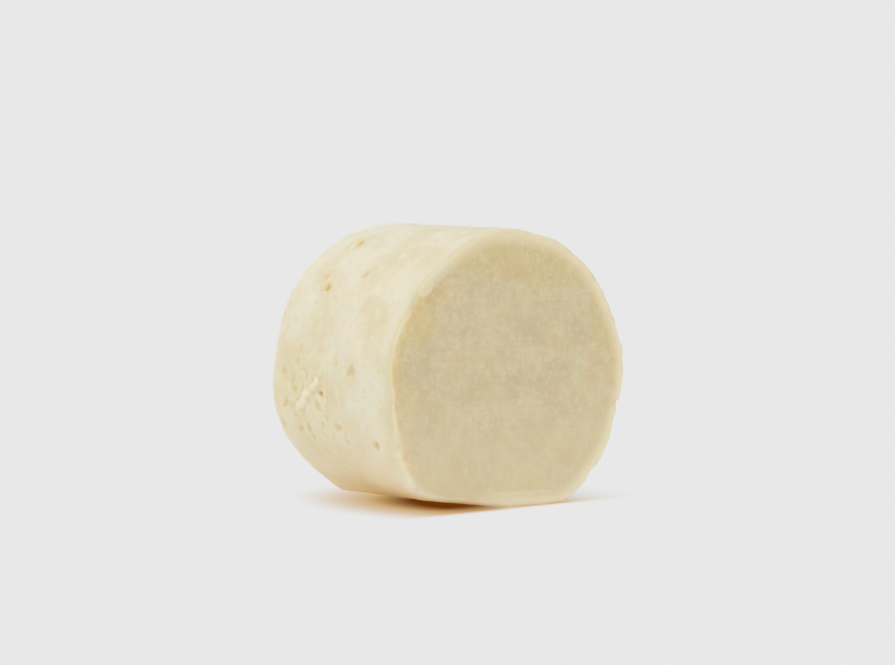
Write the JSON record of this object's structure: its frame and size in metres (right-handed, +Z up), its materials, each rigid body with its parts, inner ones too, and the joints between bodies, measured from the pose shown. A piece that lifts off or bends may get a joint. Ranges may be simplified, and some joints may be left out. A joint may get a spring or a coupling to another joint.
{
  "type": "soap puck",
  "caption": "Thick round puck of hand-cut shaving soap, lying on the slumped flat along its side, with one clean cut face and a lumpy, pitted wall.",
  "frame": {"origin": "on the slumped resting flat along the puck's side, straight below the middle of the puck's axis", "axes": "+Z up from the surface that the puck lies on, +Y along the puck's axis from the cut face to the back face, +X to the right when the cut face is looked at"},
  "size_m": [0.0583, 0.043, 0.0552],
  "materials": {
    "soap": "waxy satin"
  },
  "bodies": {
    "root": {"soap_puck": "soap"}
  },
  "joints": []
}
